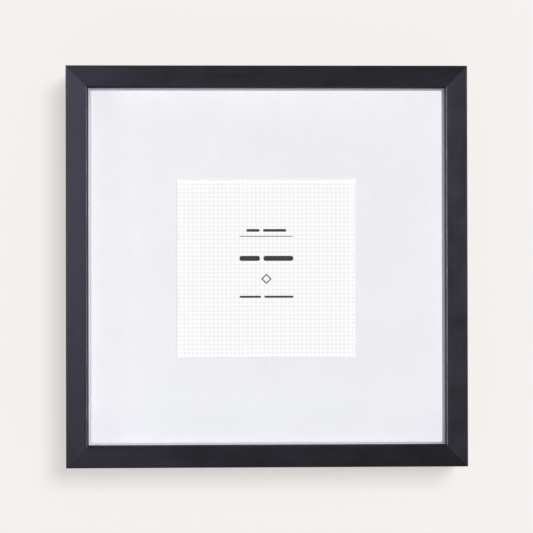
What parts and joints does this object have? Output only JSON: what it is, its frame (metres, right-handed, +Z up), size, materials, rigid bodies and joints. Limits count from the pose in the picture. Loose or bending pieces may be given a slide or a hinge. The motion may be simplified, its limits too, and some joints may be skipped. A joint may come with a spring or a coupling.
{
  "type": "shadow box frame",
  "caption": "Square black wooden box frame with a deep lip, glass, white spacers, a wide mount with a square window, a print card and a removable back.",
  "frame": {"origin": "under the middle of the frame, on the surface that its bottom edge stands on", "axes": "+X to the right seen from the front, the front faces -Y, +Z up"},
  "size_m": [0.25, 0.0384, 0.25],
  "materials": {
    "frame_foil": "satin near-black stained and lacquered wood, fine grain along each rail",
    "clear_glass": "clear float glass with ground edges",
    "white_spacer": "matt white wrapped fibreboard strip",
    "mount_card": "cool off-white mount board, lightly textured, white core at the bevel",
    "print_paper": null,
    "hardboard": "brown hardboard with a fine fibre fleck",
    "zinc_steel": "bright zinc-plated pressed steel",
    "bumper_rubber": "soft matt black rubber"
  },
  "bodies": {
    "frame": {"bottom_rail": "frame_foil", "left_rail": "frame_foil", "top_rail": "frame_foil", "right_rail": "frame_foil", "corner_nails": "zinc_steel", "glass_pane": "clear_glass", "bottom_spacer": "white_spacer", "left_spacer": "white_spacer", "top_spacer": "white_spacer", "right_spacer": "white_spacer", "mount_board": "mount_card", "print_card": "print_paper", "backing_board": "hardboard", "turn_button_screws": "zinc_steel", "sawtooth_hanger": "zinc_steel", "hanger_nails": "zinc_steel", "left_bumper": "bumper_rubber", "right_bumper": "bumper_rubber"},
    "turn_button_bottom_left": {"turn_button_bottom_left": "zinc_steel"},
    "turn_button_bottom_right": {"turn_button_bottom_right": "zinc_steel"},
    "turn_button_left_upper": {"turn_button_left_upper": "zinc_steel"},
    "turn_button_left_lower": {"turn_button_left_lower": "zinc_steel"},
    "turn_button_top_right": {"turn_button_top_right": "zinc_steel"},
    "turn_button_top_left": {"turn_button_top_left": "zinc_steel"},
    "turn_button_right_lower": {"turn_button_right_lower": "zinc_steel"},
    "turn_button_right_upper": {"turn_button_right_upper": "zinc_steel"}
  },
  "joints": [
    {"name": "turn_button_bottom_left_turn", "type": "hinge", "parent": "frame", "child": "turn_button_bottom_left", "pos_m": [-0.06, 0.0164, 0.00475], "axis": [0, 1, 0], "continuous": true},
    {"name": "turn_button_bottom_right_turn", "type": "hinge", "parent": "frame", "child": "turn_button_bottom_right", "pos_m": [0.06, 0.0164, 0.00475], "axis": [0, 1, 0], "continuous": true},
    {"name": "turn_button_left_upper_turn", "type": "hinge", "parent": "frame", "child": "turn_button_left_upper", "pos_m": [-0.12025, 0.0164, 0.185], "axis": [0, 1, 0], "continuous": true},
    {"name": "turn_button_left_lower_turn", "type": "hinge", "parent": "frame", "child": "turn_button_left_lower", "pos_m": [-0.12025, 0.0164, 0.065], "axis": [0, 1, 0], "continuous": true},
    {"name": "turn_button_top_right_turn", "type": "hinge", "parent": "frame", "child": "turn_button_top_right", "pos_m": [0.06, 0.0164, 0.24525], "axis": [0, 1, 0], "continuous": true},
    {"name": "turn_button_top_left_turn", "type": "hinge", "parent": "frame", "child": "turn_button_top_left", "pos_m": [-0.06, 0.0164, 0.24525], "axis": [0, 1, 0], "continuous": true},
    {"name": "turn_button_right_lower_turn", "type": "hinge", "parent": "frame", "child": "turn_button_right_lower", "pos_m": [0.12025, 0.0164, 0.065], "axis": [0, 1, 0], "continuous": true},
    {"name": "turn_button_right_upper_turn", "type": "hinge", "parent": "frame", "child": "turn_button_right_upper", "pos_m": [0.12025, 0.0164, 0.185], "axis": [0, 1, 0], "continuous": true}
  ]
}
